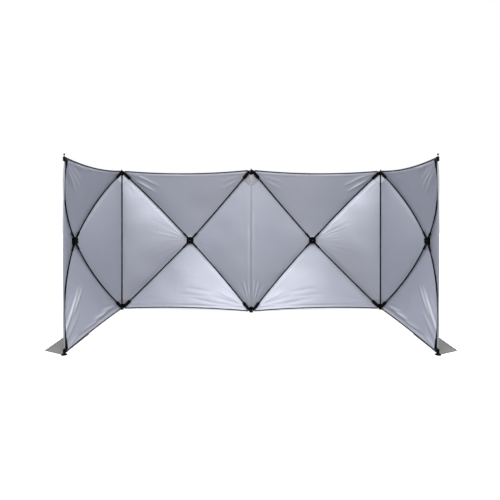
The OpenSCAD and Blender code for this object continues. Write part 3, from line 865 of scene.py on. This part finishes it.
class WINDBREAK_OT_patches(bpy.types.Operator):
    """Sew the corner patches, the black corner tabs and the rings round the hubs to the panels"""

    bl_idname = "windbreak.patches"
    bl_label = "Patches"

    # Shares of the way from a corner: where a patch begins at a free edge, and of a tab where it begins
    BARE_END, TAB_START = 0.16, 0.3

    def execute(self, context):
        sizes, colours = settings(context)
        cloth = [patch_cloth("patch_cloth", colours.patch, colours.patch_grey)]
        black = [tape_cloth("corner_tab", colours.fold, depth=0.2)]
        for bay in bays(context):
            shell, tabs = Shell(), Shell()
            for corner in range(4):
                at_fold = 0 < bay.index + CORNERS[corner][0] < 4
                tab_end = sizes.tab / patch_size(bay, corner)[0] if at_fold else self.BARE_END
                if at_fold:
                    self.lay(tabs, bay, corner, self.TAB_START * tab_end, tab_end)
                if corner in patched_corners(bay):
                    self.lay(shell, bay, corner, tab_end, 1)
            tabs.piece(bay.name + "_corner_tabs", bay.name, "fold_tape", black)
            radius, turn = np.meshgrid(
                np.linspace(sizes.ring_inner, sizes.ring_outer, 5),
                np.linspace(0, 2 * math.pi, 72, endpoint=False),
                indexing="ij",
            )
            x, z = bay.hub[0] + radius * np.cos(turn), bay.hub[1] + radius * np.sin(turn)
            shell.sheet(*on_cloth(bay, x, z), pair(x, z), 0.15, round_it=True)
            shell.piece(bay.name + "_patches", bay.name, "fabric", cloth)
        return {"FINISHED"}

    def lay(self, shell, bay, corner, first, last):
        """Adds the part of a corner patch between two shares of the way from its corner."""
        t, s = np.meshgrid(np.linspace(first, last, 14), np.linspace(0, 1, 12), indexing="ij")
        x, z, tone = patch_places(bay, corner, t, s)
        shell.sheet(*on_cloth(bay, x, z), pair(x, z), tone)


def on_cloth(bay, x, z):
    """Both faces of a patch that lies on the sheltered side of a panel, a hair off it."""
    seat = bay.outward_at(x, z) - bay.sizes.cloth_thickness / 2 - 0.00008
    return bay.place(x, seat - bay.sizes.patch_thickness, z), bay.place(x, seat, z)


def patched_corners(bay):
    """Corners with a patch: all but the low one at the centre fold."""
    return [corner for corner in range(4) if CORNERS[corner][1] or not bay.at_centre(corner)]


def patch_size(bay, corner):
    """Length of a corner patch down the fold line, and its reach along the bay."""
    if bay.at_centre(corner):
        return 0.168, 0.090
    return 0.135 if CORNERS[corner][1] else 0.105, 0.080


def patch_places(bay, corner, t, s):
    """Flat places of a corner patch between the fold line and the pole, and its tone."""
    right, top = CORNERS[corner]
    at_fold = right == (bay.fold_gore == 1)
    drop, reach = patch_size(bay, corner)
    start = bay.corners[corner]
    across, down = (-1 if right else 1), (-1 if top else 1)
    lean = (bay.hub - start) / abs(bay.hub[0] - start[0])
    x = start[0] + across * 0.001 + t * (reach * across * s)
    z = start[1] + t * (down * drop * (1 - s) + reach * lean[1] * s)
    return x, z, 0.0 if at_fold and top else 1.0


class WINDBREAK_OT_flaps(bpy.types.Operator):
    """Lay the sand flaps on the ground outside the wings"""

    bl_idname = "windbreak.flaps"
    bl_label = "Sand flaps"

    def execute(self, context):
        _, colours = settings(context)
        cloth = [flap_cloth("flap_cloth", colours.flap)]
        b, a = np.meshgrid(rim_steps(26), rim_steps(64), indexing="ij")
        for end, bay in wings(context):
            x, n, low, high, hem = flap_surface(bay, a, b)
            tops, undersides = (bay.place(bay.from_side(x), n, z) for z in (high, low))
            shell = Shell()
            shell.sheet(tops, undersides, pair(x, n), np.tile(hem.ravel(), 2))
            flap = shell.piece(end + "_sand_flap", bay.name, "flap_fabric", cloth)
            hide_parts(end + "_flap")
        return {"FINISHED"}


def rim_steps(count):
    """Steps from 0 to 1, closer together at both ends."""
    t = np.linspace(0, 1, count)
    return 0.5 * t + 0.5 * t * t * (3 - 2 * t)


def flap_surface(bay, a, b):
    """Places, underside, top and hem share of a sand flap at shares along it and across it."""
    sizes = bay.sizes
    x, n = flap_places(sizes, a, b)
    edge = np.minimum(np.minimum(a, 1 - a) * sizes.flap_length, np.minimum(b, 1 - b) * sizes.flap_width)
    hem = 1 - ramp(edge, 0.0105, 0.0125)
    slack = np.random.default_rng(5 + bay.index)
    lift = sum(
        0.0011 * (1 + np.sin(x * slack.uniform(14, 34) + n * slack.uniform(-40, 40) + slack.uniform(0, 6)))
        for _ in range(3)
    )
    low = 0.0003 + lift * ramp(edge, 0.0, 0.06) + 0.0022 * ramp(b, 0.75, 1.0) * np.sin(a * 17.0) ** 2
    return x, n, low, low + 0.0012 + 0.0012 * hem, hem


def flap_places(sizes, a, b):
    """Places along the wing from its free end, and outward, of a sand flap that clears the foot."""
    x = sizes.flap_slant * b + (sizes.flap_length - 2 * sizes.flap_slant * b) * a
    n = sizes.flap_gap + (sizes.flap_width - sizes.flap_gap) * b
    away = np.hypot(x, n)
    clear, blend = 0.0235, 0.012
    moved = np.where(away < clear + blend, clear + (away - 0.010) * blend / (clear + 0.002), away)
    push = np.maximum(moved / np.maximum(away, 1e-6), 1.0)
    return x * push, n * push


def stitch_tree():
    """Lays stitches of one size along lines, each turned to its line."""
    tree = bpy.data.node_groups.new("stitch_row", "GeometryNodeTree")
    for name, kind, way in (
        ("Lines", "NodeSocketGeometry", "INPUT"),
        ("Pitch", "NodeSocketFloat", "INPUT"),
        ("Length", "NodeSocketFloat", "INPUT"),
        ("Thread", "NodeSocketFloat", "INPUT"),
        ("Material", "NodeSocketMaterial", "INPUT"),
        ("Stitches", "NodeSocketGeometry", "OUTPUT"),
    ):
        tree.interface.new_socket(name, in_out=way, socket_type=kind)
    new = tree.nodes.new
    start, end = new("NodeGroupInput"), new("NodeGroupOutput")
    curve = new("GeometryNodeMeshToCurve")
    evenly = new("GeometryNodeResampleCurve")
    evenly.mode = "LENGTH"
    tangent = new("GeometryNodeInputTangent")
    turn = new("FunctionNodeAlignRotationToVector")
    turn.axis = "X"
    ball = new("GeometryNodeMeshIcoSphere")
    ball.inputs["Subdivisions"].default_value = 1
    ball.inputs["Radius"].default_value = 0.5
    scale = new("ShaderNodeCombineXYZ")
    spread = new("GeometryNodeInstanceOnPoints")
    real, paint = new("GeometryNodeRealizeInstances"), new("GeometryNodeSetMaterial")
    for giver, gives, taker, takes in (
        (start, "Lines", curve, "Mesh"),
        (curve, "Curve", evenly, "Curve"),
        (start, "Pitch", evenly, "Length"),
        (tangent, "Tangent", turn, "Vector"),
        (start, "Length", scale, "X"),
        (start, "Thread", scale, "Y"),
        (start, "Thread", scale, "Z"),
        (evenly, "Curve", spread, "Points"),
        (ball, "Mesh", spread, "Instance"),
        (turn, "Rotation", spread, "Rotation"),
        (scale, "Vector", spread, "Scale"),
        (spread, "Instances", real, "Geometry"),
        (real, "Geometry", paint, "Geometry"),
        (start, "Material", paint, "Material"),
        (paint, "Geometry", end, "Stitches"),
    ):
        tree.links.new(giver.outputs[gives], taker.inputs[takes])
    return tree


class WINDBREAK_OT_stitches(bpy.types.Operator):
    """Run the rows of stitches along hems, patches, bindings and flaps"""

    bl_idname = "windbreak.stitches"
    bl_label = "Stitches"

    def execute(self, context):
        sizes, colours = settings(context)
        tree = stitch_tree()
        dark = thread("dark_thread", dimmed(colours.hem, 1.6))
        pale = thread("pale_thread", dimmed(colours.inside, 0.85))
        grey = thread("flap_thread", dimmed(colours.flap, 0.7))
        rows = []
        for bay in bays(context):
            rows.append((bay, bay.name + "_hem_stitches", hem_lines(bay, sizes), dark, "hem_tape"))
            rows.append((bay, bay.name + "_patch_stitches", seam_lines(bay, sizes), pale, "fabric"))
        for end, bay in wings(context):
            rows.append((bay, end + "_flap_stitches", [flap_line(bay)], grey, "flap_fabric"))
        for bay, name, lines, material, slot in rows:
            made = sewn(name, lines, tree, sizes, material)
            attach(made, bay.name)
        return {"FINISHED"}


def hem_lines(bay, sizes):
    """Rows of stitches on both faces of a bay's hems, and on the black tape of its side fold."""
    found = []
    x = np.linspace(sizes.hem_start + 0.004, bay.width - sizes.hem_start - 0.004, 120)
    for level in (0, 1):
        z, n = hem_line(bay, level, x)
        z = z + (-1 if level else 1) * 0.52 * sizes.hem_width
        found += [bay.place(x, n + face * sizes.hem_thickness / 2, z) for face in (-1, 1)]
    for fold, (body, _) in FOLDS.items():
        if body == bay.name and fold != "centre_fold":
            found += fold_lines(fold, sizes, (-125, -55, 55, 125))
    return found


def seam_lines(bay, sizes):
    """Rows of stitches on a bay's patches, round its hub, and on its centre seam or free edge."""
    found = []
    lift = sizes.cloth_thickness / 2 + sizes.patch_thickness
    for corner in patched_corners(bay):
        x, z, _ = patch_places(bay, corner, np.full(30, 0.965), np.linspace(0.03, 0.9, 30))
        found.append(bay.place(x, bay.outward_at(x, z) - lift, z))
    turn = np.linspace(0, 2 * math.pi, 60)
    radius = sizes.ring_outer - 0.003
    x, z = bay.hub[0] + radius * np.cos(turn), bay.hub[1] + radius * np.sin(turn)
    found.append(bay.place(x, bay.outward_at(x, z) - lift, z))
    if FOLDS["centre_fold"][0] == bay.name:
        found += fold_lines("centre_fold", sizes, (-130, -50, 50, 130))
    for end, index in ENDS.items():
        if index == bay.index:
            low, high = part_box(end + "_hem")
            z = np.linspace(low.z + 0.006, high.z - 0.006, 60)
            edge = bay.from_side(FREE_EDGE + 0.56 * EDGE_WIDTH)
            for face in (-1, 1):
                found.append(bay.place(edge, free_edge_pull(sizes, z) + face * EDGE_THICKNESS / 2, z))
    return found


def fold_lines(fold, sizes, turns):
    """Upright lines sunk a little into a fold's tape, at turns in degrees round its section."""
    wide, deep = (0.94 * half for half in fold_section(fold, sizes))
    low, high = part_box(fold + "_binding")
    z = np.linspace(low.z + 0.006, high.z - 0.006, 60)
    place = FOOT_PLACE[FEET[FOLDS[fold][1]]]
    found = []
    for turn in np.radians(turns):
        x, y = place[0] + wide * math.cos(turn), place[1] + deep * math.sin(turn)
        found.append(np.stack([np.full_like(z, x), np.full_like(z, y), z], -1))
    return found


def flap_line(bay):
    """Row of stitches inside the hem of a sand flap's three outer edges."""
    first, last, outer = 0.016, 0.984, 0.958
    up = np.linspace(0.12, outer, 30)
    along = np.linspace(first, last, 90)[1:-1]
    a = np.concatenate([np.full_like(up, first), along, np.full_like(up, last)])
    b = np.concatenate([up, np.full_like(along, outer), up[::-1]])
    x, n, _, high, _ = flap_surface(bay, a, b)
    return bay.place(bay.from_side(x), n, high)


def sewn(name, lines, tree, sizes, material):
    """Turns lines of points into rows of stitches, as a plain mesh."""
    mesh = bpy.data.meshes.new(name + "_lines")
    points = np.concatenate(lines)
    starts = np.cumsum([0] + [len(line) for line in lines])
    spans = [np.stack([np.arange(a, b - 1), np.arange(a + 1, b)], -1) for a, b in zip(starts, starts[1:])]
    edges = np.concatenate(spans)
    mesh.from_pydata(points.tolist(), edges.tolist(), [])
    carrier = bpy.data.objects.new(name + "_carrier", mesh)
    bpy.context.scene.collection.objects.link(carrier)
    rows = carrier.modifiers.new("rows", "NODES")
    rows.node_group = tree
    values = {
        "Pitch": sizes.stitch_pitch,
        "Length": sizes.stitch_length,
        "Thread": sizes.stitch_width,
        "Material": material,
    }
    for item in tree.interface.items_tree:
        if item.in_out == "INPUT" and item.name in values:
            rows[item.identifier] = values[item.name]
    carrier.update_tag()
    context = bpy.context.evaluated_depsgraph_get()
    result = bpy.data.meshes.new_from_object(carrier.evaluated_get(context), depsgraph=context)
    bpy.data.objects.remove(carrier)
    bpy.data.meshes.remove(mesh)
    if not len(result.polygons):
        raise RuntimeError(f"{name} has no stitches")
    result.name = name
    result.polygons.foreach_set("use_smooth", np.ones(len(result.polygons), bool))
    made = bpy.data.objects.new(name, result)
    bpy.context.scene.collection.objects.link(made)
    return made


class WINDBREAK_OT_fittings(bpy.types.Operator):
    """Give the poles, hubs, boots, tips and feet their finishes, and press a cross into each rivet"""

    bl_idname = "windbreak.fittings"
    bl_label = "Fittings"

    def execute(self, context):
        colours = context.scene.windbreak_colours
        nylon = moulded("black_nylon", colours.plastic, roughness=0.42, grain=1800.0, scuff=0.5)
        rod = moulded("pole_rod", colours.pole, roughness=0.34, grain=900.0, scuff=0.25)
        rubber = moulded("black_rubber", dimmed(colours.plastic, 0.8), roughness=0.66, grain=1400.0, scuff=0.35)
        # The raised cross on each rivet's head is coloured grey, far lighter than the black hub
        rubbed = moulded("grey_rivet_cross", colours.rivet, roughness=0.45, grain=1800.0, scuff=0.2)
        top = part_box("left_end_tip")[1].z
        tip = tip_finish("tip_finish", colours.plastic, colours.neck, low=top - 0.0203, high=top - 0.0135)
        special = {"poles": rod, "foot": rubber, "end_tip": tip}
        for name, node in frame["nodes"].items():
            finish = next((special[kind] for kind in special if name.endswith(kind)), nylon)
            for slot in node.material_slots:
                slot.material = finish
        for bay in bays(context):
            shell = Shell()
            cap = np.array([vertex.co for vertex in frame["nodes"][bay.name + "_hub_cap"].data.vertices])
            face = ((cap - bay.start) @ bay.out).min()
            for turn in (45, 135):
                shell.tube(*rib(bay, face, math.radians(turn), reach=0.0062, half=0.0011, high=0.0009))
            shell.piece(bay.name + "_rivet_cross", bay.name, "black_plastic", [rubbed])
        return {"FINISHED"}


def rib(bay, face, turn, reach, half, high):
    """Rings of a low rounded rib across a rivet's head."""
    steps = np.linspace(-1, 1, 9)
    taper = np.sqrt(np.maximum(1 - steps**4, 0.05))
    section = np.linspace(0, 2 * math.pi, 8, endpoint=False)
    across = half * taper[:, None] * np.cos(section)
    depth = face - high * taper[:, None] * np.sin(section) * 0.8
    along = np.broadcast_to(reach * steps[:, None], across.shape)
    x = bay.hub[0] + along * math.cos(turn) - across * math.sin(turn)
    z = bay.hub[1] + along * math.sin(turn) + across * math.cos(turn)
    return bay.place(x, depth, z), pair(along, across)


class WINDBREAK_OT_stage(bpy.types.Operator):
    """Set the pale floor, the soft light and the camera"""

    bl_idname = "windbreak.stage"
    bl_label = "Stage"

    def execute(self, context):
        scene = context.scene
        scene.view_settings.view_transform = "Standard"
        floor_mesh = bpy.data.meshes.new("floor")
        radius, level, count = 14, -0.0005, 64
        turns = np.linspace(0, 2 * math.pi, count, endpoint=False)
        rim = [(radius * math.cos(t), radius * math.sin(t), level) for t in turns]
        floor_mesh.from_pydata(rim, [], [list(range(count))])
        floor = bpy.data.objects.new("floor", floor_mesh)
        scene.collection.objects.link(floor)
        floor_mesh.materials.append(pale_floor())
        scene.world = white_room()
        lamps = [
            ("key", (0.0, -3.2, 3.4), (0.0, 0.1, 0.9), 3.0, 0.8, 46),
            ("top", (0.0, -0.5, 4.5), (0.0, -0.5, 0.0), 3.0, 1.0, 34),
        ]
        for side in (-1, 1):
            lamps += [
                ("near_side", (1.9 * side, -3.2, 3.4), (0.9 * side, 0.1, 0.9), 1.4, 0.8, 15),
                ("far_side", (3.0 * side, -3.2, 3.4), (1.2 * side, 0.1, 0.9), 1.4, 0.8, 40),
            ]
        for name, place, aim, wide, high, power in lamps:
            lamp = bpy.data.lights.new(name, "AREA")
            lamp.shape, lamp.size, lamp.size_y, lamp.energy = "RECTANGLE", wide, high, power
            holder = bpy.data.objects.new(name, lamp)
            holder.location = place
            holder.rotation_euler = (Vector(aim) - Vector(place)).to_track_quat("-Z", "Y").to_euler()
            scene.collection.objects.link(holder)
        camera = bpy.data.cameras.new("camera")
        camera.sensor_width, camera.lens, camera.shift_x, camera.shift_y = 36.0, 31.1, -0.003, -0.0933
        camera.clip_end = 100
        holder = bpy.data.objects.new("camera", camera)
        holder.location, holder.rotation_euler = (0.003, -4.562, 1.149), (math.pi / 2, 0, 0)
        scene.collection.objects.link(holder)
        scene.camera = holder
        return {"FINISHED"}


def camera_sees(tree):
    """1 on rays that come from the camera, straight or through something clear."""
    path = tree.nodes.new("ShaderNodeLightPath")
    seen = Tone(tree, path.outputs["Is Camera Ray"])
    return seen.maths("MAXIMUM", seen, Tone(tree, path.outputs["Is Transmission Ray"]))


def pale_floor():
    """Floor that turns white far out for the camera, and stays dim for the light it throws back."""
    material = bpy.data.materials.new("pale_floor")
    material.use_nodes = True
    tree = material.node_tree
    tree.nodes.remove(tree.nodes["Principled BSDF"])
    seen = camera_sees(tree)
    lit = seen.node("BsdfDiffuse", {"Color": (0.7, 0.7, 0.7, 1)})
    dim = seen.node("BsdfDiffuse", {"Color": (0.3, 0.3, 0.3, 1)})
    place = seen.node("TexCoord", output=3)
    far = seen.node("VectorMath", {0: place}, output=1, operation="LENGTH").between(1.6, 5.5)
    glow = seen.node("Emission", {"Color": far.blend((0.5, 0.5, 0.5, 1), (1, 1, 1, 1)), "Strength": 1.0})
    both = seen.node("AddShader", {0: lit, 1: glow})
    shown = seen.node("MixShader", {0: seen, 1: dim, 2: both})
    tree.links.new(shown.socket, tree.nodes["Material Output"].inputs["Surface"])
    return material


def white_room():
    """Even white light from all around."""
    world = bpy.data.worlds.new("white_room")
    world.use_nodes = True
    around = world.node_tree.nodes["Background"]
    around.inputs["Color"].default_value = (1, 1, 1, 1)
    around.inputs["Strength"].default_value = 1.0
    return world


class WINDBREAK_PT_panel(bpy.types.Panel):
    """The windbreak's sizes, colours and steps"""

    bl_idname = "WINDBREAK_PT_panel"
    bl_label = "Windbreak"
    bl_space_type = "VIEW_3D"
    bl_region_type = "UI"
    bl_category = "Windbreak"

    def draw(self, context):
        for step in STEPS:
            self.layout.operator(step.bl_idname)
        for group in (context.scene.windbreak_sizes, context.scene.windbreak_colours):
            for name in group.__annotations__:
                self.layout.prop(group, name)


STEPS = (
    WINDBREAK_OT_panels,
    WINDBREAK_OT_hems,
    WINDBREAK_OT_bindings,
    WINDBREAK_OT_patches,
    WINDBREAK_OT_flaps,
    WINDBREAK_OT_stitches,
    WINDBREAK_OT_fittings,
    WINDBREAK_OT_stage,
)
CLASSES = (WindbreakSizes, WindbreakColours, *STEPS, WINDBREAK_PT_panel)


def register():
    for kind in CLASSES:
        bpy.utils.register_class(kind)
    bpy.types.Scene.windbreak_sizes = bpy.props.PointerProperty(type=WindbreakSizes)
    bpy.types.Scene.windbreak_colours = bpy.props.PointerProperty(type=WindbreakColours)


def unregister():
    del bpy.types.Scene.windbreak_sizes, bpy.types.Scene.windbreak_colours
    for kind in reversed(CLASSES):
        bpy.utils.unregister_class(kind)


def main():
    register()
    for step in STEPS:
        group, name = step.bl_idname.split(".")
        getattr(getattr(bpy.ops, group), name)()


if __name__ == "__main__":
    main()
